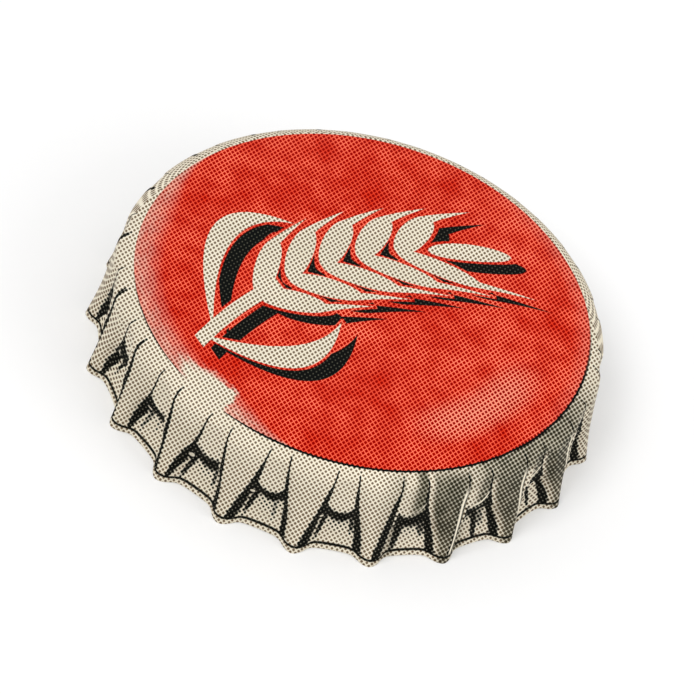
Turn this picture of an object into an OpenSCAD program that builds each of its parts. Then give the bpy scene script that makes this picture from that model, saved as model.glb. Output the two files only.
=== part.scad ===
// Crimped bottle cap: a fluted tinplate shell with a pressed cork seal liner inside.
// Millimetres, +Z up. The cap stands on its flute tips, its axis is Z, and one ridge faces -Y.

/* [Shell] */
// Diameter of the bottle's lip, which the shell wraps
lip_d = 26.3; // [26:0.1:26.8]
// Diameter over the flute tips
tip_d = 28.6; // [28.4:0.1:29.4]
// Height from the flute tips to the rim of the top panel
rim_h = 6; // [5.6:0.1:6.5]
// Thickness of the tinplate
sheet_t = 0.24; // [0.18:0.01:0.28]
// Outer radius of the rounded shoulder round the panel
shoulder_r = 1.25; // [1:0.05:1.4]
// Rise of the panel's middle above its rim
dome_rise = 0.25; // [0:0.05:0.5]

/* [Flutes] */
// Number of flutes round the skirt
flute_count = 21; // [18:1:23]
// Width of a ridge where it leaves the shoulder
ridge_top_w = 2.5; // [2.1:0.1:2.7]
// Width of a ridge at its tip
ridge_tip_w = 1.3; // [1.15:0.05:1.6]
// Width of the flank on each side of a ridge where it leaves the shoulder
flank_top_w = 0.45; // [0.4:0.05:0.6]
// Width of that flank at the tip
flank_tip_w = 0.9; // [0.5:0.05:1]
// Hollow of a ridge's line between the shoulder and its tip
ridge_hollow = 0.1; // [0:0.05:0.15]

/* [Crimp] */
// Height of the lower end of the valley lobes, which wrap the lip
lobe_z = 2.9; // [2.8:0.1:3.2]
// Height of the crease that grips under the lip
crease_z = 2.2; // [2:0.1:2.4]
// Depth of that crease, measured in from the lobes
crease_in = 0.6; // [0.4:0.05:0.8]
// Flare of the valleys from the crease out to the open edge
mouth_out = 0.65; // [0.4:0.05:0.8]
// Height of the valleys' edge above the flute tips
edge_rise = 0.1; // [0:0.05:0.3]

/* [Liner] */
// Thickness of the cork liner at its rim
liner_t = 1.3; // [1.1:0.05:1.4]
// Radius of the liner's upper edge, pressed into the shoulder
liner_round = 0.9; // [0.8:0.05:1]
// Chamfer round the liner's lower edge
liner_chamfer = 0.2; // [0.1:0.05:0.25]
// Inner diameter of the seat that the lip pressed into the liner
seat_in_d = 16.8; // [15:0.2:18]
// Width of the liner's rim outside that seat
seat_rim_w = 0.9; // [0.6:0.05:1.2]
// Depth of that seat
seat_depth = 0.3; // [0.1:0.05:0.4]
// Width of the sloped sides of that seat
seat_slope = 0.25; // [0.1:0.05:0.3]
// Gap between the liner and the panel
liner_gap = 0.02; // [0.01:0.01:0.05]
// Gap between the liner and the lobes round it
liner_side_gap = 0.15; // [0.1:0.01:0.2]

/* [Hidden] */
$fn = 96;
enamel_red = [0.83, 0.23, 0.14];
cork_brown = [0.72, 0.53, 0.34];

pitch = 360 / flute_count;
lobe_r = lip_d / 2 + sheet_t;

// The face of the shell is a stack of rings, from the panel's rim down to the open edge. These
// angles take them round the shoulder. Its next to last one is flush with the lobes, and from
// there on ridges and valleys part.
shoulder_steps = [0, 25, 50, 75];
flute_ring = len(shoulder_steps) - 1;
panel_r = lobe_r - shoulder_r * sin(shoulder_steps[flute_ring - 1]);
function shoulder_x(a) = panel_r + shoulder_r * sin(a);
function shoulder_z(a) = rim_h - shoulder_r * (1 - cos(a));
ridge_top_r = shoulder_x(shoulder_steps[flute_ring]);
ridge_top_z = shoulder_z(shoulder_steps[flute_ring]);

// Below the shoulder, each stretch of the skirt has this many rings: lobe, crimp and foot
stretch_rings = 3;
function stretch(from_z, to_z) = [for (i = [1:stretch_rings]) mix(from_z, to_z, i / stretch_rings)];
ring_z = concat(
    [for (a = shoulder_steps) shoulder_z(a)],
    stretch(ridge_top_z, lobe_z),
    stretch(lobe_z, crease_z),
    stretch(crease_z, 0)
);
last_ring = len(ring_z) - 1;

// Stations across a flank, from its crest side (-1) to its valley side (1)
flank_steps = [-1, -1/3, 1/3, 1];
// Part of a flute's depth that its flanks take up; the rest rounds the crest and the valley
flank_share = 0.86;
half_steps = len(flank_steps) + 1;
flute_steps = 2 * half_steps;
ring_steps = flute_steps * flute_count;

// The domed panel has two coarser rings inside its rim, at these parts of its radius
panel_rings = [2/3, 1/3];
panel_steps = [2 * flute_count, flute_count];
panel_start = (last_ring + 1) * ring_steps;
side_points = panel_start + panel_steps[0] + panel_steps[1] + 1;

// The valleys' flare starts slowly below the crease, as this power of the way down
flare_power = 1.3;

function mix(a, b, t) = a + (b - a) * t;
function ease(t) = t * t * (3 - 2 * t);
function arc_angle(width, r) = width / r * 180 / PI;
function unit(v) = v / norm(v);

// Radius of the ridges and of the valleys, and widths of ridge and flank, at a height on the skirt
function ridge_r(z) = let (t = 1 - z / ridge_top_z)
    mix(ridge_top_r, tip_d / 2, t) - ridge_hollow * 4 * t * (1 - t);
function valley_r(z) = lobe_r
    - (z < lobe_z ? crease_in * ease(min(1, (lobe_z - z) / (lobe_z - crease_z))) : 0)
    + mouth_out * pow(foot(z), flare_power);
function foot(z) = max(0, 1 - z / crease_z);
function ridge_w(z) = mix(ridge_tip_w, ridge_top_w, z / ridge_top_z);
function flank_w(z) = mix(flank_tip_w, flank_top_w, z / ridge_top_z);

// Angle from a ridge's crest, and share of the ridge's height, at station k of half a flute
function half_angle(k, z) =
    k == 0 ? 0 :
    k == half_steps ? pitch / 2 :
    arc_angle((ridge_w(z) + flank_w(z) * flank_steps[k - 1]) / 2, ridge_r(z));
function half_share(k) =
    k == 0 ? 1 :
    k == half_steps ? 0 :
    0.5 - flank_share / 2 * sin(90 * flank_steps[k - 1]);

// Point of the outer face on ring j, at step i round it
function outer_point(j, i) =
    let (
        z = ring_z[j],
        step = i % flute_steps,
        past = step > half_steps,
        k = past ? flute_steps - step : step,
        crest = pitch * (floor(i / flute_steps) + (past ? 1 : 0)) - 90,
        a = crest + (past ? -1 : 1) * half_angle(k, z),
        r = j < flute_ring ? shoulder_x(shoulder_steps[j])
            : mix(valley_r(z), ridge_r(z), half_share(k))
    )
    [r * cos(a), r * sin(a), z + edge_rise * foot(z) * (1 - half_share(k))];

// The same point of the inner face, one sheet thickness behind; the open edge is cut level
function inner_point(rings, j, i) =
    let (
        across = rings[j][(i + 1) % ring_steps] - rings[j][(i + ring_steps - 1) % ring_steps],
        up = rings[max(0, j - 1)][i] - rings[min(last_ring, j + 1)][i],
        n = cross(across, up),
        normal = j == 0 ? [0, 0, 1] : j == last_ring ? [n.x, n.y, 0] : n
    )
    rings[j][i] - sheet_t * unit(normal);

// Points of the domed panel inside its rim, at this drop below the outer face
function panel_z(r) = rim_h + dome_rise * (1 - pow(r / panel_r, 2));
function panel_points(drop) = concat(
    [for (m = [0:len(panel_rings) - 1]) for (i = [0:panel_steps[m] - 1])
        let (a = 360 * i / panel_steps[m] - 90, r = panel_r * panel_rings[m])
        [r * cos(a), r * sin(a), panel_z(r) - drop]],
    [[0, 0, panel_z(0) - drop]]
);

// Triangles of one side of the sheet, whose points start at index s
function side_faces(s) =
    let (ring_a = s + panel_start, ring_b = ring_a + panel_steps[0])
    concat(
        [for (j = [0:last_ring - 1]) for (i = [0:ring_steps - 1])
            let (
                a = s + j * ring_steps + i,
                b = s + j * ring_steps + (i + 1) % ring_steps,
                c = b + ring_steps,
                d = a + ring_steps
            )
            each i % flute_steps < half_steps ? [[a, b, d], [b, c, d]] : [[a, b, c], [a, c, d]]],
        web_faces(s, ring_a, panel_steps[0], half_steps),
        web_faces(ring_a, ring_b, panel_steps[1], 2),
        [for (c = [0:flute_count - 1])
            [ring_b + flute_count, ring_b + (c + 1) % flute_count, ring_b + c]]
    );

// Triangles from a ring to the ring of n points inside it, which has one point to every m
function web_faces(outer, inner, n, m) =
    [for (c = [0:n - 1])
        each concat(
            [for (k = [c * m:c * m + m - 1]) [inner + c, outer + (k + 1) % (n * m), outer + k]],
            [[outer + (c * m + m) % (n * m), inner + c, inner + (c + 1) % n]]
        )];

// Triangles across the cut edge of the sheet
function edge_faces() =
    let (outer = last_ring * ring_steps, inner = outer + side_points)
    [for (i = [0:ring_steps - 1])
        let (next = (i + 1) % ring_steps)
        each [[outer + i, outer + next, inner + next], [outer + i, inner + next, inner + i]]];

function flip(faces) = [for (f = faces) [f[2], f[1], f[0]]];

module shell() {
    outer = [for (j = [0:last_ring]) [for (i = [0:ring_steps - 1]) outer_point(j, i)]];
    inner = [for (j = [0:last_ring]) for (i = [0:ring_steps - 1]) inner_point(outer, j, i)];
    color(enamel_red)
        polyhedron(
            points = concat([for (ring = outer) each ring], panel_points(0),
                inner, panel_points(sheet_t)),
            faces = concat(side_faces(0), flip(side_faces(side_points)), edge_faces())
        );
}

module liner() {
    liner_r = lip_d / 2 - liner_side_gap;
    seat_in_r = seat_in_d / 2;
    seat_out_r = liner_r - seat_rim_w;
    top_z = rim_h - sheet_t - liner_gap;
    low_z = top_z - liner_t;
    seat_z = low_z + seat_depth;
    color(cork_brown)
        rotate_extrude()
            polygon(concat(
                [[0, low_z]],
                [[seat_in_r - seat_slope, low_z], [seat_in_r, seat_z]],
                [[seat_out_r, seat_z], [seat_out_r + seat_slope, low_z]],
                [[liner_r - liner_chamfer, low_z], [liner_r, low_z + liner_chamfer]],
                [for (a = [0:15:90])
                    [liner_r - liner_round * (1 - cos(a)), top_z - liner_round * (1 - sin(a))]],
                [for (f = concat(panel_rings, 0))
                    [f * panel_r, panel_z(f * panel_r) - sheet_t - liner_gap]]
            ));
}

shell();
liner();
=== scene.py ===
# Crimped bottle cap: a fluted tinplate shell, printed red on top, with a pressed cork liner inside.
# Metres, +Z up. The cap stands on its flute tips, its axis is Z, and one ridge faces -Y.
from math import atan2, ceil, cos, dist, hypot, pi, radians, sin, tau

import bmesh
import bpy
from mathutils import Matrix, Vector


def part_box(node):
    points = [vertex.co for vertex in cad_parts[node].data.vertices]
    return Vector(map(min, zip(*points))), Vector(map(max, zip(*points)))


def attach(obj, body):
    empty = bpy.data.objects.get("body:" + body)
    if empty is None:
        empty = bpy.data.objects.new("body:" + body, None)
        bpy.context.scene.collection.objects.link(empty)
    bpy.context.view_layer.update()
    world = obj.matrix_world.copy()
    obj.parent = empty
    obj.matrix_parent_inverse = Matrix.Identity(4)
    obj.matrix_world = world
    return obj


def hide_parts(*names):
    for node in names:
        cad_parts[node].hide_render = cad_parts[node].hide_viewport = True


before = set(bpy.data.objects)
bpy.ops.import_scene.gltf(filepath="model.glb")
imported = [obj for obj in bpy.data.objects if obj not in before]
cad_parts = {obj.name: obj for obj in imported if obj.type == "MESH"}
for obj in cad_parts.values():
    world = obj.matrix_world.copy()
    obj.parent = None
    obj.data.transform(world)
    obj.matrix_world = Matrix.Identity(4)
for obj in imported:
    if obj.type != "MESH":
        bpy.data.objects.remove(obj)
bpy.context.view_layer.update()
bpy.ops.object.select_all(action="DESELECT")

# Camera: a long lens that looks down on the cap from its front ridge. It is rolled about its own
# axis, so the cap leans clockwise in the view.
CAMERA_AZIMUTH = radians(-1.79)
CAMERA_ELEVATION = radians(43.72)
CAMERA_ROLL = radians(17.65)
CAMERA_DISTANCE = 0.38
LENS_MM = 364.6
CAP_MIDDLE = Vector((0, 0, 0.00586))
# Where the middle of the cap stands from the middle of the view, measured on the cap
CAP_RIGHT = 0.000865
CAP_UP = 0.002584

camera_turn = (
    Matrix.Rotation(CAMERA_AZIMUTH, 4, "Z")
    @ Matrix.Rotation(pi / 2 - CAMERA_ELEVATION, 4, "X")
    @ Matrix.Rotation(CAMERA_ROLL, 4, "Z")
)
camera_eye = camera_turn @ Vector((-CAP_RIGHT, -CAP_UP, CAMERA_DISTANCE)) + CAP_MIDDLE
bpy.ops.object.camera_add(location=camera_eye, rotation=camera_turn.to_euler())
camera = bpy.context.object
camera.name = "camera"
camera.data.lens = LENS_MM
bpy.context.scene.camera = camera

# Shell: one disc of thin tinplate, lacquered and printed flat, then drawn into a cup and pressed in
# between its ridges round a bottle's lip. It is shaped as its outer face, ring by ring down from the
# panel's rim, and gets the thickness of the sheet last.
shell_low, shell_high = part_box("shell")
TIP_R = -shell_low.y
DOME_RISE = 0.00025
RIM_H = shell_high.z - DOME_RISE
SHEET_T = 0.00024
LOBE_R = 0.01315 + SHEET_T
SHOULDER_R = 0.00125
SHOULDER_FLUSH = radians(50)
SHOULDER_END = radians(75)
PANEL_R = LOBE_R - SHOULDER_R * sin(SHOULDER_FLUSH)
PANEL_RINGS = (0.85, 0.65, 0.45, 0.25)

FLUTES = 21
PITCH = tau / FLUTES
RIDGE_TOP_W = 0.0025
RIDGE_TIP_W = 0.0013
FLANK_TOP_W = 0.00045
FLANK_TIP_W = 0.0009
RIDGE_HOLLOW = 0.0001
# Stations across a flank, from its crest side to its valley side
FLANK_STEPS = (-1, -1 / 3, 1 / 3, 1)
# Part of a flute's depth that its flanks take up; the rest rounds the crest and the valley
FLANK_SHARE = 0.86
HALF_STEPS = len(FLANK_STEPS) + 1
FLUTE_STEPS = 2 * HALF_STEPS

LOBE_Z = 0.0029
CREASE_Z = 0.0022
CREASE_IN = 0.0006
MOUTH_OUT = 0.00065
FLARE_POWER = 1.3
EDGE_RISE = 0.0001
EDGE_ROUND = 0.00005
TINY = 1e-6


def mix(a, b, t):
    return a + (b - a) * t


def shoulder_r(a):
    return PANEL_R + SHOULDER_R * sin(a)


def shoulder_z(a):
    return RIM_H - SHOULDER_R * (1 - cos(a))


RIDGE_TOP_R = shoulder_r(SHOULDER_END)
RIDGE_TOP_Z = shoulder_z(SHOULDER_END)


def foot(z):
    """Share of the way down from the crease to the open edge"""
    return max(0, 1 - z / CREASE_Z)


def ridge_r(z):
    down = 1 - z / RIDGE_TOP_Z
    return mix(RIDGE_TOP_R, TIP_R, down) - RIDGE_HOLLOW * 4 * down * (1 - down)


def valley_r(z):
    down = min(1, max(0, (LOBE_Z - z) / (LOBE_Z - CREASE_Z)))
    return LOBE_R - CREASE_IN * down * down * (3 - 2 * down) + MOUTH_OUT * foot(z) ** FLARE_POWER


def ridge_w(z):
    return mix(RIDGE_TIP_W, RIDGE_TOP_W, z / RIDGE_TOP_Z)


def flank_w(z):
    return mix(FLANK_TIP_W, FLANK_TOP_W, z / RIDGE_TOP_Z)


def column_angle(k, z):
    """Angle from a ridge's crest to the column k steps from it"""
    if k in (0, HALF_STEPS):
        return PITCH / 2 * k / HALF_STEPS
    return (ridge_w(z) + flank_w(z) * FLANK_STEPS[k - 1]) / 2 / ridge_r(z)


def column_share(k):
    """Share of the flute's depth that the column k steps from a crest stands out by"""
    if k in (0, HALF_STEPS):
        return 1 - k / HALF_STEPS
    return 0.5 - FLANK_SHARE / 2 * sin(pi / 2 * FLANK_STEPS[k - 1])


def edit(piece):
    """Opens the piece for editing, and returns its mesh"""
    bpy.context.view_layer.objects.active = piece
    bpy.ops.object.mode_set(mode="EDIT")
    return bmesh.from_edit_mesh(piece.data)


def chosen_round(mesh):
    """The vertices that are selected, in order round the cap from its front ridge"""
    verts = [v for v in mesh.verts if v.select]
    return sorted(verts, key=lambda v: (atan2(v.co.x, -v.co.y) + TINY) % tau)


def choose(mesh, parts):
    """Selects these vertices or edges of the mesh alone"""
    bpy.ops.mesh.select_all(action="DESELECT")
    for part in parts:
        part.select_set(True)
    mesh.select_flush_mode()


def scale_out(factor, up=1):
    """Scales what is selected away from the cap's axis"""
    bpy.ops.transform.resize(value=(factor, factor, up), center_override=(0, 0, 0))


def apply_modifier(piece, kind, **settings):
    modifier = piece.modifiers.new(kind.title(), kind)
    for name, setting in settings.items():
        setattr(modifier, name, setting)
    bpy.ops.object.modifier_apply(modifier=modifier.name)


# The rings of the skirt: height, radius in the valleys, radius on the ridges
shoulder_rings = [
    (shoulder_z(a), min(shoulder_r(a), LOBE_R), shoulder_r(a))
    for a in (SHOULDER_FLUSH / 2, SHOULDER_FLUSH, (SHOULDER_FLUSH + SHOULDER_END) / 2, SHOULDER_END)
]
skirt_rings = [
    (z, valley_r(z), ridge_r(z))
    for start, end, steps in ((RIDGE_TOP_Z, LOBE_Z, 3), (LOBE_Z, CREASE_Z, 2), (CREASE_Z, 0, 3))
    for z in [mix(start, end, (i + 1) / steps) for i in range(steps)]
]


def column_place(k, z, valley, ridge):
    """Angle from the crest, radius and height on a ring of the column k steps from the crest"""
    share = column_share(k)
    return column_angle(k, z), mix(valley, ridge, share), z + EDGE_RISE * foot(z) * (1 - share)


bpy.ops.mesh.primitive_circle_add(vertices=FLUTES * FLUTE_STEPS, radius=PANEL_R, location=(0, 0, RIM_H))
shell = bpy.context.object
shell.name = "cap_shell"
bpy.ops.object.transform_apply(location=True)
skirt = edit(shell)
places = [(PITCH * k / FLUTE_STEPS, PANEL_R, RIM_H) for k in range(HALF_STEPS + 1)]
for ring_sizes in shoulder_rings + skirt_rings:
    bpy.ops.mesh.extrude_region_move()
    ring = chosen_round(skirt)
    for k, (old_angle, old_radius, old_height) in enumerate(places):
        angle, radius, height = places[k] = column_place(k, *ring_sizes)
        one_side = ring[k::FLUTE_STEPS]
        other_side = ring[-k % FLUTE_STEPS :: FLUTE_STEPS]
        if k not in (0, HALF_STEPS):
            # With no window, the operator turns clockwise for a positive angle
            choose(skirt, one_side)
            bpy.ops.transform.rotate(value=old_angle - angle, orient_axis="Z", center_override=(0, 0, 0))
            choose(skirt, other_side)
            bpy.ops.transform.rotate(value=angle - old_angle, orient_axis="Z", center_override=(0, 0, 0))
        choose(skirt, one_side + other_side)
        scale_out(radius / old_radius)
        bpy.ops.transform.translate(value=(0, 0, height - old_height))
    choose(skirt, ring)
bpy.ops.object.mode_set(mode="OBJECT")
apply_modifier(shell, "SUBSURF", levels=2, render_levels=2)


def panel_z(r):
    return RIM_H + DOME_RISE * (1 - (r / PANEL_R) ** 2)


def next_ring(old, new):
    """Extrudes the ring that is selected from one radius and height to others, and returns these"""
    bpy.ops.mesh.extrude_region_move(TRANSFORM_OT_translate={"value": (0, 0, new[1] - old[1])})
    scale_out(new[0] / old[0])
    return new


# The panel: the rim is drawn inwards and up in rings, and closed at its middle
panel = edit(shell)
choose(panel, [v for v in panel.verts if v.co.z > RIM_H - TINY])
place = (PANEL_R, RIM_H)
for share in PANEL_RINGS:
    place = next_ring(place, (PANEL_R * share, panel_z(PANEL_R * share)))
next_ring(place, (TINY, panel_z(0)))
bpy.ops.mesh.merge(type="CENTER")
bpy.ops.mesh.select_all(action="SELECT")
bpy.ops.mesh.normals_make_consistent(inside=False)
bpy.ops.object.mode_set(mode="OBJECT")


class Flow:
    """What one socket of a material carries. Arithmetic on it adds the Math nodes that work it out."""

    def __init__(self, tree, socket=None):
        self.tree = tree
        self.socket = socket

    def fill(self, node, inputs):
        """Links or sets these inputs of a node"""
        for name, value in inputs.items():
            if isinstance(value, Flow):
                self.tree.links.new(value.socket, node.inputs[name])
            else:
                node.inputs[name].default_value = value

    def node(self, kind, settings, inputs, output=0):
        """Adds a node with these settings and inputs, and returns one of its outputs"""
        node = self.tree.nodes.new("ShaderNode" + kind)
        for name, setting in settings.items():
            setattr(node, name, setting)
        self.fill(node, inputs)
        return Flow(self.tree, node.outputs[output])

    def math(self, operation, *values):
        return self.node("Math", {"operation": operation}, dict(enumerate(values)))

    def __add__(self, other):
        return self.math("ADD", self, other)

    def __sub__(self, other):
        return self.math("SUBTRACT", self, other)

    def __mul__(self, other):
        return self.math("MULTIPLY", self, other)

    def __truediv__(self, other):
        return self.math("DIVIDE", self, other)

    def __pow__(self, other):
        return self.math("POWER", self, other)

    def __rsub__(self, other):
        return self.math("SUBTRACT", other, self)

    def __neg__(self):
        return 0 - self

    def __abs__(self):
        return self.math("ABSOLUTE", self)

    __radd__ = __add__
    __rmul__ = __mul__

    def least(self, other):
        return self.math("MINIMUM", self, other)

    def most(self, other):
        return self.math("MAXIMUM", self, other)

    def share(self):
        """This number kept between 0 and 1"""
        return self.most(0).least(1)

    def nearest(self):
        """The nearest whole number"""
        return self.math("ROUND", self)

    def wave(self):
        """The cosine of this many whole turns"""
        return self.math("COSINE", self * tau)

    def ramp(self, start, end):
        """0 up to start, 1 from end, and a smooth rise between them"""
        limits = {"Value": self, "From Min": start, "From Max": end}
        return self.node("MapRange", {"interpolation_type": "SMOOTHSTEP"}, limits)

    def inside(self, soft=0.00002):
        """1 where this distance outside an outline is below 0, and 0 beyond it"""
        return self.ramp(soft, -soft)

    def between(self, start, full, fading, end):
        """1 from full to fading, and 0 up to start and from end"""
        return self.ramp(start, full) * (1 - self.ramp(fading, end))

    def stroke(self, half):
        """1 on a line of this half width along the place where this number is 0"""
        return 1 - (abs(self) / half).ramp(0.5, 1.3)

    def colours(self, low, high):
        """The colour low where this mask is 0, and the colour high where it is 1"""
        return self.node("Mix", {"data_type": "RGBA"}, {0: self, 6: low, 7: high}, output=2)

    def shaded(self, colour, tint):
        """The colour, multiplied by the tint where this mask is 1"""
        settings = {"data_type": "RGBA", "blend_type": "MULTIPLY"}
        return self.node("Mix", settings, {0: self, 6: colour, 7: tint}, output=2)

    def noise(self, size, detail=2.0, roughness=0.5):
        """Cloudy noise over this vector, 0 to 1, with clouds of about this size"""
        inputs = {"Vector": self, "Scale": 1 / size, "Detail": detail, "Roughness": roughness}
        return self.node("TexNoise", {}, inputs)


def srgb(red, green, blue):
    """The colour that shows as these values of 0 to 255"""
    shares = (red / 255, green / 255, blue / 255)
    return (*[c / 12.92 if c <= 0.04045 else ((c + 0.055) / 1.055) ** 2.4 for c in shares], 1)


def finish_named(name):
    """A new material, and the point that it colours as a vector in metres"""
    material = bpy.data.materials.new(name)
    material.use_nodes = True
    point = Flow(material.node_tree).node("TexCoord", {}, {}, output="Object")
    return material, point


def paint(material, point, inputs):
    """Gives a material's shader its constants and links"""
    point.fill(material.node_tree.nodes["Principled BSDF"], inputs)


# The motif printed on the panel: an ear of barley with two leaves. It is drawn along and out from its
# stem, and bends over.
EAR_TURN = radians(42)
EAR_BEND = -26
EAR_RIGHT = -0.0007
EAR_UP = 0.0026
STEM_END = -0.0098
STEM_HALF_W = 0.00046
GRAINS = 5
GRAIN_PITCH = 0.0023
GRAIN_TILT = radians(42)
GRAIN_HALF_L = 0.00215
GRAIN_HALF_W = 0.00071
GRAIN_OUT = 0.00135
FIRST_GRAIN = -0.0034
TIP_GRAIN = FIRST_GRAIN + GRAINS * GRAIN_PITCH
AWN_TILT = radians(19)
AWN_L = 0.0028
AWN_HALF_W = 0.00028
# How far up a grain its awn leaves it, and how far back the awn starts inside the grain
AWN_FROM = 0.9
AWN_ROOT = 0.0003
# The leaves: where each starts and ends along the stem, its side, its bulge and its tip's lift
LEAVES = ((-0.0086, -0.0002, 1, 0.0029, 0.0034), (-0.0093, -0.0016, -1, 0.0026, 0.0039))
LEAF_HALF_W = 0.00085
LEAF_FULLNESS = 0.8
SHADOW_X = 0.00100
SHADOW_Y = -0.00060
SHADOW_GAP = 0.00018


def slanted(along, out, tilt, start_along, start_out):
    """Coordinates along and across a row of strokes that lean by tilt, one to every pitch of the ear"""
    across = (out - start_out) * cos(tilt) - (along - start_along) * sin(tilt)
    step = GRAIN_PITCH * sin(tilt)
    number = (across / -step).nearest().most(0).least(GRAINS - 1)
    lengthwise = (along - start_along - number * GRAIN_PITCH) * cos(tilt) + (out - start_out) * sin(tilt)
    return lengthwise, across + number * step


def grain(lengthwise, across):
    return (((lengthwise / GRAIN_HALF_L) ** 2 + (across / GRAIN_HALF_W) ** 2) ** 0.5 - 1) * GRAIN_HALF_W


def barley(x, y):
    """How far a point of the panel lies outside the printed ear's outline, below 0 inside it"""
    along = x * cos(EAR_TURN) + y * sin(EAR_TURN) - EAR_RIGHT
    out = y * cos(EAR_TURN) - x * sin(EAR_TURN) - EAR_UP
    out = out - along * along * EAR_BEND
    side = abs(out)
    shape = grain(*slanted(along, side, GRAIN_TILT, FIRST_GRAIN, GRAIN_OUT))
    shape = shape.least(grain(along - TIP_GRAIN, side))
    awn_along = FIRST_GRAIN + AWN_FROM * GRAIN_HALF_L * cos(GRAIN_TILT)
    awn_out = GRAIN_OUT + AWN_FROM * GRAIN_HALF_L * sin(GRAIN_TILT)
    lengthwise, across = slanted(along, side, AWN_TILT, awn_along, awn_out)
    awn = abs(across) - (1 - lengthwise / AWN_L).least(1) * AWN_HALF_W
    shape = shape.least(awn.most(-AWN_ROOT - lengthwise).most(lengthwise - AWN_L))
    shape = shape.least((side - STEM_HALF_W).most(STEM_END - along).most(along - FIRST_GRAIN))
    for start, end, leaf_side, bulge, lift in LEAVES:
        share = (along - start) / (end - start)
        inner = share.share()
        middle = (inner * lift + inner * (1 - inner) * 4 * bulge) * leaf_side
        # Half a wave from root to tip, 0 at both
        half = (inner**LEAF_FULLNESS / 2 - 0.25).wave() * LEAF_HALF_W
        beyond = (-share).most(share - 1) * (end - start)
        shape = shape.least((abs(out - middle) - half).most(beyond))
    return shape


# The printed face: cream lacquer all over and a red disc on the panel, in a fine screen of dots, with
# the wear of the print, dirt of use, and painted shade and highlights on the skirt. Bearings are in
# degrees round the cap, from its front toward its right. Two or four values in one name say where a
# ramp or a stretch starts and ends.
CREAM = srgb(243, 234, 213)
CREAM_SHADE = srgb(230, 221, 199)
RED = srgb(236, 49, 3)
RED_DEEP = srgb(216, 34, 0)
RED_LIGHT = srgb(255, 147, 119)
BLACK = srgb(10, 12, 11)
SHADE_DIRT_COLOUR = srgb(13, 14, 12)
FLECK = srgb(76, 76, 64)
GRIT_SIZE = 0.0012
FINE_SIZE = 0.00025
CLOUD_SIZE = 0.005
PRINT_R = 0.01265
PRINT_RIGHT = 0.00002
PRINT_BACK = -0.00006
PRINT_FOOT_Z = (0.0050, 0.0053)
# A short distance over which one finish gives way to the next
SOFT = 0.0001

enamel, point = finish_named("printed_enamel")
x, y, z = (point.node("SeparateXYZ", {}, {"Vector": point}, output=axis) for axis in range(3))
radius = (x * x + y * y) ** 0.5
turn = point.math("ARCTAN2", x, -y)
bearing = turn * (180 / pi)
aside = abs(bearing)
grit = point.noise(GRIT_SIZE, 4)
fine = point.noise(FINE_SIZE, 3)
cloud = point.noise(CLOUD_SIZE, 3)
mottle = cloud * 0.5 + grit * 0.5
inset = PRINT_R - ((x - PRINT_RIGHT) ** 2 + (y - PRINT_BACK) ** 2) ** 0.5
on_panel = z.ramp(*PRINT_FOOT_Z)
on_print = (-inset).inside() * on_panel
off_print = 1 - on_print

# The screen of dots, which are longer up the sheet than across it. Its rows lie straight over the panel
# and down the skirt's front. Round the sides and back they follow the skirt, and drawing it into a cup
# has spread them toward the two sides.
SCREEN_PITCH = 0.0002
SCREEN_LONG = 0.69
# How far up the screen a point goes for its height, against 1 for its depth
SCREEN_RISE = 1.05
SCREEN_FOOT_Z = 0.0048
SCREEN_FOOT_BACK_Z = 0.00588
SCREEN_BACK = (70, 110)
SCREEN_MIRRORED = (95, 125)
# The two sets of rows that cross the skirt, in whole numbers so that they meet round it
ROWS_ROUND = 193
ROWS_LEAN = 208
SCREEN_TURN = atan2(ROWS_LEAN, ROWS_ROUND)
# Where the spreading starts, and the share of the rows that it takes at the cap's two sides
DRAWN_FROM = (55.4, 55.46)
DRAWN = 2 - 2 * hypot(ROWS_ROUND, ROWS_LEAN) * SCREEN_PITCH / (tau * LOBE_R)


def screen_rows(right, up):
    """How far the point lies inside the rows of dots both ways, each -1 to 1"""
    up = up * SCREEN_LONG
    one_way = (right * cos(SCREEN_TURN) + up * sin(SCREEN_TURN)) / SCREEN_PITCH
    other_way = (up * cos(SCREEN_TURN) - right * sin(SCREEN_TURN)) / SCREEN_PITCH
    return one_way.wave(), other_way.wave()


side_right = (turn * (1 - DRAWN / 2) + (turn / pi - 0.25).wave() * (DRAWN / 4)) * LOBE_R
side_right = side_right + (radius - LOBE_R) * x / radius * mix(1, -1, aside.ramp(*SCREEN_MIRRORED))
side_share = x / radius.least(LOBE_R)
side_up = z * SCREEN_RISE - radius + side_share * side_share * (DRAWN * LOBE_R)
screen_foot_z = mix(SCREEN_FOOT_Z, SCREEN_FOOT_BACK_Z, aside.ramp(*SCREEN_BACK))
straight = (z - screen_foot_z).ramp(0, SOFT).most(1 - aside.ramp(*DRAWN_FROM))
side_rows = screen_rows(side_right, side_up)
straight_rows = screen_rows(x, z * SCREEN_RISE + y)
row_u, row_v = (mix(side, top, straight) for side, top in zip(side_rows, straight_rows))
dots = (row_u + row_v) / 8 + row_u.least(row_v) / 4 + 0.5

# Where the point lies on its flute, with the valley's left line on the right side of a ridge. Toward the
# shoulder the strokes lean together, and in front a left line also lies a little up its ridge.
LEAN = 0.045
LEAN_TO = radians(-15)
LEAN_Z = (0.0010, 0.0045)
LEAN_ROUND = (-100, -65, 60, 90)
LEDGE = 0.00037
LEDGE_Z = (0.0045, 0)
LEDGE_ROUND = (-50, -30, 15, 75)
VALLEY_SOFT = 0.0002

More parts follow.
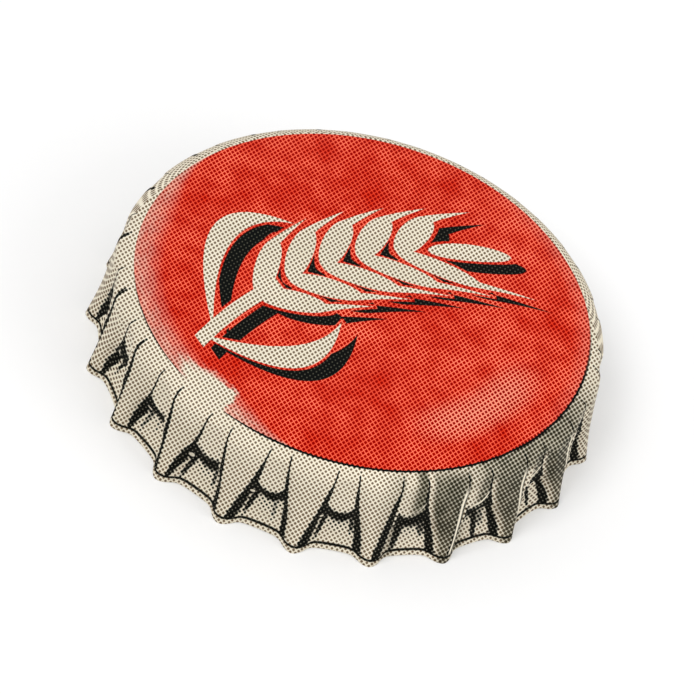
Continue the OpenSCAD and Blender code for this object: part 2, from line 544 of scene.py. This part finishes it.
lean = (turn - LEAN_TO) * LEAN * z.ramp(*LEAN_Z) * bearing.between(*LEAN_ROUND)
ledge = LEDGE * z.ramp(*LEDGE_Z) * bearing.between(*LEDGE_ROUND)
flute = (turn + lean) / PITCH
from_crest = (flute - flute.nearest()) * PITCH * ridge_r(z)
left_line = from_crest.ramp(-TINY, TINY)
past_flank = abs(from_crest) - ridge_w(z) / 2 + ledge * left_line
in_valley = past_flank.ramp(0, VALLEY_SOFT)
on_ridge = past_flank.ramp(SOFT, -SOFT)
hollow = flute - 0.5
hollow_number = hollow.nearest()
across = (hollow - hollow_number) * PITCH * ridge_r(z)
half_gap = PITCH / 2 * ridge_r(z) - ridge_w(z) / 2
gap_share = across / half_gap
from_left = across + half_gap + ledge


def draw_lots(seed):
    """A number from 0 to 1 for each valley"""
    return point.node("TexWhiteNoise", {"noise_dimensions": "1D"}, {"W": hollow_number + seed})


chance = draw_lots(0.5)
luck = draw_lots(40.5)
ragged = 0.55 + 0.9 * grit

# Dark lines of painted shade and dirt down the feet of a valley's two flanks, wider toward the open
# edge. On the flank that is turned away from the front the line lies further up the ridge. A faint
# painted shade lies beside them in the valley.
LEFT_LINE_HALF = 0.00032
RIGHT_LINE_HALF = 0.00024
LINE_TOP_HALF = 0.00006
LINE_TOP_Z = (0.0060, 0.0056)
# How far a line lies in the valley, or below 0 on the ridge
LINE_IN = 0.00008
AWAY_LEFT_LINE_IN = -0.00018
AWAY_RIGHT_LINE_IN = -0.00026
LEFT_LINE_AWAY = (3, 22)
RIGHT_LINE_AWAY = (-8, -30)
# Toward the wear the left lines are wedges that are broadest where the bars meet them
TO_WEAR = (-14, -40)
WEDGE_Z = mix(CREASE_Z, LOBE_Z, 0.4)
WEDGE_FOOT_Z = (0.0003, WEDGE_Z)
WEDGE_TOP_Z = (WEDGE_Z + 0.0003, WEDGE_Z + 0.0010)
SLENDER_RIGHT = (14, 48)
STURDY_LEFT = (-20, -75)
NARROWING_ROUND = (-50, -14)
FLANK_SHADE_W = 0.0006
FLANK_SHADE_Z = (0.0050, 0.0036)

to_wear = bearing.ramp(*TO_WEAR)
away = mix(bearing.ramp(*RIGHT_LINE_AWAY), bearing.ramp(*LEFT_LINE_AWAY), left_line)
wedge = mix(0.1, 1.3, z.ramp(*WEDGE_FOOT_Z)) * (1 - 0.7 * z.ramp(*WEDGE_TOP_Z))
foot_half = mix(RIGHT_LINE_HALF, LEFT_LINE_HALF * mix(1, wedge, to_wear), left_line)
foot_half = foot_half * mix(1, 1.25, away)
foot_half = foot_half * mix(1, mix(0.8, 0.3, left_line), bearing.ramp(*SLENDER_RIGHT))
narrowing = (1 - z / RIDGE_TOP_Z).most(0) ** mix(1.2, 0.65, bearing.ramp(*NARROWING_ROUND))
top_half = LINE_TOP_HALF * (1 + (1 - left_line) * bearing.ramp(*STURDY_LEFT) * 1.8)
line_in = mix(LINE_IN, mix(AWAY_RIGHT_LINE_IN, AWAY_LEFT_LINE_IN, left_line), away)
flank_line = (past_flank - line_in).stroke(foot_half * narrowing * ragged + top_half)
flank_line = flank_line * z.ramp(*LINE_TOP_Z)
# Painted shade beside the flanks, inside the valley
flank_shade = past_flank.ramp(FLANK_SHADE_W, SOFT) * in_valley * z.ramp(*FLANK_SHADE_Z) * 0.4

# A dark bar of painted shade hangs between the lines along the crease under each lobe, higher toward
# the cap's two sides and thinner at its back. It has a faint painted shade below it, and one above its
# right half.
BAR_Z = WEDGE_Z - 0.0001
BAR_HALF = 0.00060
BAR_SAG = 0.0011
LOWEST_BAR = 8
BAR_RISE = 0.00105
BAR_RISE_ROUND = (28, 78, 85, 110)
TO_RIGHT = (12, 24)
SHADE_SIDE_BAR_ROUND = (18, 30)
SHADE_SIDE_BAR_EVEN = (30, 45)
SHADE_SIDE_BAR_THICK = (30, 42)
THIN_BAR_BACK = (80, 110)
UNDER_DROP = (0.0007, 0.0016)
OVER_RISE = -0.0009

to_right = bearing.ramp(*TO_RIGHT)
bar_z = BAR_Z + gap_share**2 * (0.25 + 0.75 * chance) * BAR_SAG
bar_z = bar_z + abs(bearing - LOWEST_BAR).between(*BAR_RISE_ROUND) * BAR_RISE
below_bar = bar_z - z
bar_weight = 0.85 + 0.35 * luck + 0.2 * to_wear + 0.25 * to_right
# On the cap's right the bars are thicker, with more painted shade
shade_side_bar = (0.9 - gap_share * mix(0.5, 0, bearing.ramp(*SHADE_SIDE_BAR_EVEN))).least(1)
shade_side_bar = shade_side_bar * bearing.ramp(*SHADE_SIDE_BAR_ROUND) * mix(1.2, 1.5, bearing.ramp(*SHADE_SIDE_BAR_THICK))
bar_half = BAR_HALF * mix(1, 0.6, aside.ramp(*THIN_BAR_BACK)) * bar_weight.most(shade_side_bar)
bar = below_bar.stroke(bar_half * ragged) * in_valley
# Faint painted shade below the bar, and above its right half
shade_under_bar = below_bar.between(0, SOFT, *UNDER_DROP) * in_valley * 0.45
shade_over_bar = below_bar.between(OVER_RISE, 0, SOFT, 2 * SOFT) * gap_share.ramp(-0.6, 1) * in_valley * 0.5

# Below the bar hang two strokes of painted shade: a leg on the valley's left and one at its middle.
# Most bars have a painted highlight, a bright glint beside the leg, with a dark collar of painted shade.
LEG_OFF = 0.00060
LEG_HALF = 0.00022
LEG_DROP = 0.0031
LEG_CHANCE = (0.05, 0.3)
# On the cap's right the legs move to the middle, and no bar is without one
MIDDLE_LEG = (18, 32)
MIDDLE_LEG_OFF = 0.0003
SURE_LEG = (30, 40)
GLINT_OFF = 0.00033
GLINT_DROP = 0.00080
GLINT_R = 0.00015
GLINT_SOFT = 0.00003
GLINT_CHANCE = (0.1, 0.12)
COLLAR = 0.00020
HANGING_SHADE_HALF = 0.00014
HANGING_SHADE_ROOT_HALF = 0.00045
HANGING_SHADE_TIP_HALF = 0.00012
HANGING_SHADE_TAPER = 0.17
HANGING_SHADE_LEAN = 0.1
HANGING_SHADE_SPREAD = 0.0011
HANGING_SHADE_DROP = (0.0012, 0.0021)

middle_leg = bearing.ramp(*MIDDLE_LEG)
# A leg of painted shade down the valley's left
leg_half = LEG_HALF * (1 + 0.2 * middle_leg) * (1.3 - (below_bar / LEG_DROP).share()) * ragged
leg = (from_left - mix(LEG_OFF, half_gap + MIDDLE_LEG_OFF, middle_leg)).stroke(leg_half)
leg = leg * below_bar.between(0, SOFT, LEG_DROP * 0.6, LEG_DROP)
leg = leg * chance.ramp(*LEG_CHANCE).most(bearing.ramp(*SURE_LEG))
# A painted highlight: a bright glint, with a collar of painted shade
from_glint = ((from_left - GLINT_OFF) ** 2 + (below_bar - GLINT_DROP) ** 2) ** 0.5
has_glint = chance.ramp(*GLINT_CHANCE)
collar = (from_glint - GLINT_R - COLLAR).inside(SOFT) * in_valley * has_glint
glint = (from_glint - GLINT_R).inside(GLINT_SOFT) * has_glint
# A stroke of painted shade hanging from the bar's middle
hanging_shade_half = mix(HANGING_SHADE_HALF, (HANGING_SHADE_ROOT_HALF - below_bar * HANGING_SHADE_TAPER).most(HANGING_SHADE_TIP_HALF), to_right)
hanging_shade = (across - (luck - 0.3) * HANGING_SHADE_SPREAD - below_bar * HANGING_SHADE_LEAN).stroke(hanging_shade_half * ragged)
hanging_shade = hanging_shade * below_bar.between(0, SOFT, *HANGING_SHADE_DROP) * mix(0.4, 0.9, luck)

# The right side of the skirt is darkened by painted shade, but for the lit left parts of its ridges.
# Painted highlights, thin bright lines, run along the ridges' right edges there, and over the right
# halves of the bars.
SHADE_SIDE_ROUND = (14, 28, 68, 90)
SHADE_RIDGE_FOOT_Z = (0.0010, 0.0030)
SHADE_RIDGE_TOP_Z = (0.0062, 0.0055)
SHADE_VALLEY_Z = (0.0020, 0.0026)
SHADE_TOP_Z = (0.0046, 0.0052)
SHADE_TOP_ROUND = (32, 46)
LIT_WIDE = 0.0011
LIT_NARROW = 0.0003
LIT_ROUND = (10, 26)
GLOW_IN = 0.00020
GLOW_HALF = 0.00009
BAR_GLOW_RISE = 0.00095
BAR_GLOW_HALF = 0.00008
GLOW_Z = (0.0003, 0.0007, 0.0046, 0.0054)
GLOW_ROUND = (22, 32, 84, 94)

lit_w = mix(LIT_WIDE, LIT_NARROW, bearing.ramp(*LIT_ROUND))
# Painted shade on the ridges, the valleys and the shoulder at the cap's right
ridge_shade = (from_crest + ridge_w(z) / 2 - lit_w).ramp(-2 * SOFT, 2 * SOFT) * on_ridge
ridge_shade = ridge_shade * mix(0.85, 1, z.ramp(*SHADE_RIDGE_FOOT_Z)) * z.ramp(*SHADE_RIDGE_TOP_Z)
valley_shade = in_valley * z.ramp(*SHADE_VALLEY_Z) * gap_share.ramp(-0.4, 0.4)
top_shade = z.ramp(*SHADE_TOP_Z) * bearing.ramp(*SHADE_TOP_ROUND)
foot_shade = in_valley * below_bar.ramp(0, 3 * SOFT) * gap_share.ramp(-0.3, -0.8) * 0.8
painted_shade = ridge_shade.most(valley_shade).most(top_shade).most(foot_shade) * (0.6 + 0.7 * grit).least(1)
# Painted highlights along the ridges' edges and over the bars
edge_glow = (from_crest - ridge_w(z) / 2 + ledge + GLOW_IN).stroke(GLOW_HALF)
bar_glow = (below_bar + BAR_GLOW_RISE).stroke(BAR_GLOW_HALF) * across.ramp(-3 * SOFT, 0) * in_valley
glow = edge_glow.most(bar_glow) * z.between(*GLOW_Z) * bearing.between(*GLOW_ROUND)
painted_shade = painted_shade * bearing.between(*SHADE_SIDE_ROUND) * (1 - glow) * off_print

# All the painted shade and dirt, broken up by the screen's dots, and a dark line just above the open
# edge
EDGE_LINE_Z = 0.00044
EDGE_LINE_HALF = 0.00009
EDGE_CLEAR = 0.00012

shade_and_dirt = flank_line.most(bar).most(leg * 0.95).most(collar).most(hanging_shade).most(shade_under_bar).most(flank_shade).most(shade_over_bar)
shade_and_dirt = shade_and_dirt * z.ramp(EDGE_LINE_Z - EDGE_CLEAR, EDGE_LINE_Z)
shade_and_dirt = (shade_and_dirt + (dots - 0.5) * 0.75 * shade_and_dirt.ramp(0, 0.2)).ramp(0.24, 0.76)
shade_and_dirt = shade_and_dirt * (0.93 + 0.14 * fine).least(1) * (1 - glow)
shade_and_dirt = shade_and_dirt.most((z - EDGE_LINE_Z).stroke(EDGE_LINE_HALF))

# Wear of the print: a bare patch rubbed off its edge, and the edge paler on both sides of it and at the
# cap's right, partly thinned by wear and partly a painted highlight on the rounded shoulder. A pale
# stroke across the panel is a painted sheen. The patch is measured round the edge from its front, and
# is shallower toward its left.
BARE_LEFT = -0.00885
BARE_RIGHT = -0.00559
BARE_DEPTH = 0.00146
BARE_LEFT_SLOPE = 1.41
BARE_RIGHT_SLOPE = 0.38
BARE_SHALLOW_W = 0.0031
BARE_SHALLOW_SLOPE = 0.378
BARE_SOFT_LEFT = 0.0005
BARE_SOFT_RIGHT = 0.00012
BARE_HARD_FROM = (BARE_LEFT, BARE_LEFT + 0.0016)
BARE_FRAY = 0.0010
BARE_GRIT = 0.0006
BARE_THIN = 0.0004
BESIDE_BARE = (-60, -40, -25, -13)
STREAK_SIZE = 0.00022
STREAK_LONG = 0.25
FADE_W = 0.0018
FADE_ROUND = (-130, -95, -28, -4)
FAR_FADE_W = 0.0011
FAR_FADE_ROUND = (50, 90, 130, 160)
PALE_R = 0.0097
PALE_HALF_W = 0.0018
PALE_ROUND = (22, 45, 64, 84)

along = turn * PRINT_R
edgewise = point.node("CombineXYZ", {}, {0: along * STREAK_LONG, 1: inset, 2: z})
streaks = edgewise.noise(STREAK_SIZE, 3, 0.6)
bare = (BARE_DEPTH - inset).least(along - BARE_LEFT + inset * BARE_LEFT_SLOPE)
bare = bare.least(BARE_RIGHT - along - inset * BARE_RIGHT_SLOPE)
bare = bare.least((along - BARE_LEFT + BARE_SHALLOW_W) * BARE_SHALLOW_SLOPE - inset)
bare = bare + (streaks - 0.5) * BARE_FRAY + (grit - 0.5) * BARE_GRIT
bare_soft = mix(BARE_SOFT_LEFT, BARE_SOFT_RIGHT, along.ramp(*BARE_HARD_FROM))
bare_mask = bare.ramp(-bare_soft, bare_soft)
beside_bare = bearing.between(*BESIDE_BARE)
# Paler edges: ink worn thin, together with a painted highlight on the shoulder
fade = 1 - (inset / (FADE_W * bearing.between(*FADE_ROUND) + TINY)).ramp(0.05, 1)
far_fade = (inset / FAR_FADE_W).ramp(1, 0) * bearing.between(*FAR_FADE_ROUND)
thinned_and_sheen = fade.most(far_fade * 0.3).most(bare.ramp(-BARE_THIN, 0) * 0.7)
thinned_and_sheen = thinned_and_sheen * (0.3 + 1.2 * (streaks - 0.2)) * mix(0.6, 0.8, beside_bare)
# A pale stroke of painted sheen across the panel's right
pale = (abs(radius - PALE_R) / PALE_HALF_W).ramp(1, 0) * bearing.between(*PALE_ROUND)
ink_shown = (1 - bare_mask) * (1 - thinned_and_sheen.share()) * (1 - pale * 0.05)

# The colours: cream and red, painted shade on the skirt's right, the dots over both, then painted
# highlights, the ear's printed shadow, the painted shade and dirt, and the fine black line round the
# print. Ink and the dark marks of shade and dirt also stand out, by about a hundredth of a millimetre.
CREAM_DOT_TINT = srgb(122, 106, 92)
RED_DOT_TINT = srgb(164, 0, 0)
SHADE_DOT_TINT = srgb(62, 60, 50)
SHADE_TINT = srgb(174, 176, 168)
FULL_SHADE_ROUND = (24, 40)
RIDGE_DOTS_Z = (0.0050, 0.0038)
KEYLINE_HALF = 0.00009
KEYLINE_ROUND = (-84, -55.35, 83.35, 112)
FULL_KEYLINE = (-50, -20)
FINE_RELIEF = 0.00001
GRIT_RELIEF = 0.00002
INK_RELIEF = 0.000006
SHADE_DIRT_RELIEF = 0.000015

ear = barley(x, y)
shadow = barley(x - SHADOW_X, y - SHADOW_Y).inside() * (SHADOW_GAP - ear).inside()
in_red = on_print * (1 - ear.inside()) * ink_shown
row_gaps = (row_u.least(row_v) + (mottle - 0.5) * 0.6 - pale * 0.4).ramp(-0.81, -1.13)
red = row_gaps.colours(mottle.ramp(0.36, 0.62).colours(RED, RED_DEEP), RED_LIGHT)
colour = in_red.colours(mottle.ramp(0.3, 0.7).colours(CREAM_SHADE, CREAM), red)
# Painted shade over the skirt's right side
colour = (painted_shade * mix(1, 0.6, bearing.ramp(*FULL_SHADE_ROUND))).shaded(colour, SHADE_TINT)
dot_tint = painted_shade.colours(in_red.colours(CREAM_DOT_TINT, RED_DOT_TINT), SHADE_DOT_TINT)
# The dots grow at random, on the red, under the painted shade, and on the ridges below the shoulder,
# where they paint a soft shade
more_dots = (grit - 0.5) * 0.2 + in_red * 0.03 + painted_shade * 0.24 + on_ridge * z.ramp(*RIDGE_DOTS_Z) * 0.07
colour = (dots + more_dots).ramp(0.245, 0.665).shaded(colour, dot_tint)
# Painted highlights along the ridges and over the bars
colour = (glow * off_print).colours(colour, CREAM)
flecks = dots.ramp(0.18, 0.02)
colour = (shadow * on_print).colours(colour, flecks.colours(BLACK, FLECK))
colour = (shade_and_dirt.share() * off_print).colours(colour, flecks.colours(SHADE_DIRT_COLOUR, FLECK))
keyline_half = KEYLINE_HALF * (0.6 + 0.8 * dots) * mix(0.5, 1, bearing.ramp(*FULL_KEYLINE))
keyline = inset.stroke(keyline_half * (1 - beside_bare * 0.55)) * (1 - bare_mask) * on_panel
colour = (keyline * bearing.between(*KEYLINE_ROUND)).colours(colour, BLACK)
# A painted highlight: the bright glint below the bar
colour = (glint * off_print).colours(colour, CREAM)

relief = fine * FINE_RELIEF + grit * GRIT_RELIEF
relief = relief + ink_shown * on_print * INK_RELIEF + shade_and_dirt * off_print * SHADE_DIRT_RELIEF
roughness = 0.42 + 0.35 * shade_and_dirt * off_print + (1 - ink_shown) * 0.12 + (fine - 0.5) * 0.16
paint(enamel, point, {
    "Base Color": colour,
    "Roughness": roughness.share(),
    "Normal": relief.node("Bump", {}, {"Height": relief, "Strength": 0.5, "Distance": 1.0}),
    "Specular IOR Level": 0.02,
})

# The inner face is lacquered over bright tin, and the cut edge is dull and pale
LACQUER_DEEP = srgb(214, 204, 180)
LACQUER_PALE = srgb(232, 224, 204)
LACQUER_CLOUD = 0.0015
lacquer, point = finish_named("inside_lacquer")
grit = point.noise(LACQUER_CLOUD, 4)
paint(lacquer, point, {
    "Base Color": grit.colours(LACQUER_DEEP, LACQUER_PALE),
    "Metallic": 0.7,
    "Roughness": 0.3 + grit * 0.2,
})

CUT_PALE = srgb(226, 218, 196)
CUT_DULL = srgb(206, 198, 176)
CUT_GRAIN = 0.0008
cut_steel, point = finish_named("cut_edge")
grit = point.noise(CUT_GRAIN, 4)
paint(cut_steel, point, {
    "Base Color": grit.ramp(0.35, 0.6).colours(CUT_PALE, CUT_DULL),
    "Metallic": 0.2,
    "Roughness": 0.4 + grit * 0.2,
})

# The outer face keeps its place, and the thickness of the sheet goes inwards
for finish in (enamel, lacquer, cut_steel):
    shell.data.materials.append(finish)
sheet_sides = {"material_offset": 1, "material_offset_rim": 2}
apply_modifier(shell, "SOLIDIFY", thickness=SHEET_T, offset=-1, use_even_offset=True, **sheet_sides)

# The open edge is cut level, and its two corners are worn round
sheet = edit(shell)
choose(sheet, [v for v in sheet.verts if v.co.z < 0])
scale_out(1, up=0)
bpy.ops.mesh.select_mode(type="EDGE")
finishes_met = {edge: sorted(face.material_index for face in edge.link_faces) for edge in sheet.edges}
choose(sheet, [edge for edge, met in finishes_met.items() if met in ([0, 2], [1, 2])])
bpy.ops.mesh.bevel(offset=EDGE_ROUND, segments=2)
bpy.ops.mesh.select_mode(type="VERT")
bpy.ops.object.mode_set(mode="OBJECT")
bpy.ops.object.shade_smooth_by_angle(angle=radians(35))

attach(shell, "root")
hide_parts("shell")

# Liner: a disc of cork granules, baked under pressure with a binder and cut to a push fit under the
# panel. A bottle's lip has pressed its ring into the underside.
liner_low, liner_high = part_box("liner")
LINER_R = -liner_low.y
LINER_UNDER = liner_low.z
LINER_ROUND = 0.0009
LINER_CHAMFER = 0.0002
SEAT_IN_R = 0.0084
SEAT_RIM_W = 0.0009
SEAT_OUT_R = LINER_R - SEAT_RIM_W
SEAT_DEPTH = 0.0003
SEAT_SLOPE = 0.00025
# Radius of the liner's first and last ring, columns round it, and the greatest length of a face
LINER_HUB_R = 0.0006
LINER_STEPS = 240
LINER_FACE = 0.00035
CRUMBLE_SIZE = 0.0012
CRUMBLE_DEPTH = 0.00007

liner_top = liner_high.z - DOME_RISE
corners = [
    (LINER_HUB_R, LINER_UNDER),
    (SEAT_IN_R - SEAT_SLOPE, LINER_UNDER),
    (SEAT_IN_R, LINER_UNDER + SEAT_DEPTH),
    (SEAT_OUT_R, LINER_UNDER + SEAT_DEPTH),
    (SEAT_OUT_R + SEAT_SLOPE, LINER_UNDER),
    (LINER_R - LINER_CHAMFER, LINER_UNDER),
    (LINER_R, LINER_UNDER + LINER_CHAMFER),
]
for degrees in (0, 30, 60, 90):
    a = radians(degrees)
    corners.append((LINER_R - LINER_ROUND * (1 - cos(a)), liner_top - LINER_ROUND * (1 - sin(a))))
corners += [(r, liner_top + panel_z(r) - RIM_H) for r in (PANEL_R * 2 / 3, PANEL_R / 3, LINER_HUB_R)]

bpy.ops.object.select_all(action="DESELECT")
bpy.ops.mesh.primitive_circle_add(
    vertices=LINER_STEPS, radius=LINER_HUB_R, fill_type="TRIFAN", location=(0, 0, LINER_UNDER)
)
liner = bpy.context.object
liner.name = "cork_liner"
bpy.ops.object.transform_apply(location=True)
disc = edit(liner)
choose(disc, [v for v in disc.verts if v.co.xy.length > TINY])
place = corners[0]
for start, end in zip(corners, corners[1:]):
    steps = ceil(dist(start, end) / LINER_FACE)
    for step in range(steps):
        place = next_ring(place, [mix(a, b, (step + 1) / steps) for a, b in zip(start, end)])
next_ring(place, (TINY, liner_high.z))
bpy.ops.mesh.merge(type="CENTER")
bpy.ops.mesh.select_all(action="SELECT")
bpy.ops.mesh.normals_make_consistent(inside=False)
bpy.ops.object.mode_set(mode="OBJECT")

# Granules have crumbled out of its face
crumble = bpy.data.textures.new("crumble", "CLOUDS")
crumble.noise_scale = CRUMBLE_SIZE
apply_modifier(liner, "DISPLACE", texture=crumble, strength=-CRUMBLE_DEPTH, mid_level=0)
bpy.ops.object.shade_smooth_by_angle(angle=radians(50))

CORK_PALE = srgb(205, 166, 118)
CORK_BROWN = srgb(158, 112, 70)
CORK_BARK = srgb(86, 56, 36)
GRANULE = 0.0011
GRANULE_SWAY = 0.00077
SWAY_SIZE = 0.00055
PORE_SIZE = 0.00022
SHADE_SIZE = 0.0004

cork, point = finish_named("pressed_cork")
x, y = (point.node("SeparateXYZ", {}, {"Vector": point}, output=axis) for axis in range(2))
radius = (x * x + y * y) ** 0.5
sway = point.node("TexNoise", {}, {"Vector": point, "Scale": 1 / SWAY_SIZE}, output="Color")
bent = point.node("VectorMath", {"operation": "SCALE"}, {0: sway, "Scale": GRANULE_SWAY})
bent = point.node("VectorMath", {"operation": "ADD"}, {0: point, 1: bent})
grains = {"Vector": bent, "Scale": 1 / GRANULE}
tone = point.node("TexVoronoi", {}, grains, output="Color")
seam = 1 - point.node("TexVoronoi", {"feature": "DISTANCE_TO_EDGE"}, grains).ramp(0.01, 0.12)
pores = point.noise(PORE_SIZE, 3).ramp(0.60, 0.70)
pressed = radius.between(SEAT_IN_R - SEAT_SLOPE, SEAT_IN_R, SEAT_OUT_R, SEAT_OUT_R + SEAT_SLOPE)
colour = (tone * 0.8 + point.noise(SHADE_SIZE, 3) * 0.4).ramp(0.25, 0.85).colours(CORK_PALE, CORK_BROWN)
colour = (tone.ramp(0.78, 0.82) * 0.8).most(seam * 0.55).most(pores * 0.7).colours(colour, CORK_BARK)
colour = (pressed * 0.25).colours(colour, CORK_BARK)
relief = tone * 0.00002 - seam * 0.00003 - pores * 0.00003
paint(cork, point, {
    "Base Color": colour,
    "Roughness": (0.88 - pressed * 0.15 + pores * 0.1).share(),
    "Normal": relief.node("Bump", {}, {"Height": relief, "Strength": 0.7, "Distance": 1.0}),
    "Specular IOR Level": 0.2,
})
liner.data.materials.append(cork)

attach(liner, "root")
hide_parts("liner")

# Floor: a sheet of pale paper. It shows as white, and keeps the cap's soft shadow.
FLOOR_SIZE = 1.2
FLOOR_GLOW = 0.6
# From the cap's shadow to the white beyond it
FLOOR_FADE = (0.05, 0.25)
PAPER = srgb(222, 222, 222)
NEAR_GLOW = srgb(172, 172, 172)
WHITE = (1, 1, 1, 1)
bpy.ops.object.select_all(action="DESELECT")
bpy.ops.mesh.primitive_plane_add(size=FLOOR_SIZE)
floor = bpy.context.object
floor.name = "studio_floor"
paper, point = finish_named("pale_paper")


def seen(flow):
    """1 for rays from the camera, straight, mirrored or let through"""
    ways = ("Is Camera Ray", "Is Glossy Ray", "Is Transmission Ray")
    camera_ray, glossy_ray, through_ray = (flow.node("LightPath", {}, {}, output=way) for way in ways)
    return camera_ray.most(glossy_ray).most(through_ray)


far = point.node("VectorMath", {"operation": "LENGTH"}, {0: point}, output=1).ramp(*FLOOR_FADE)
paint(paper, point, {
    "Base Color": PAPER,
    "Roughness": 0.9,
    "Specular IOR Level": 0.0,
    "Emission Color": far.colours(NEAR_GLOW, WHITE),
    "Emission Strength": seen(point) * FLOOR_GLOW,
})
floor.data.materials.append(paper)

# Lamps: a soft key at the front left and a weaker fill at the right, in an even light from all round


def lamp(name, place, size, power):
    """A square lamp that faces the cap"""
    place = Vector(place)
    facing = place.to_track_quat("Z", "Y").to_euler()
    bpy.ops.object.light_add(type="AREA", location=place, rotation=facing)
    light = bpy.context.object
    light.name = name
    light.data.energy = power
    light.data.size = size


lamp("key", (-0.26, -0.34, 0.60), 0.3, 2.1)
lamp("fill", (0.55, -0.25, 0.35), 0.4, 1.0)

AMBIENT = 0.7
world = bpy.data.worlds.new("studio")
bpy.context.scene.world = world
world.use_nodes = True
sky = Flow(world.node_tree)
sky.fill(world.node_tree.nodes["Background"], {
    "Color": WHITE,
    "Strength": mix(AMBIENT, 1.0, seen(sky)),
})
bpy.context.scene.view_settings.view_transform = "Standard"
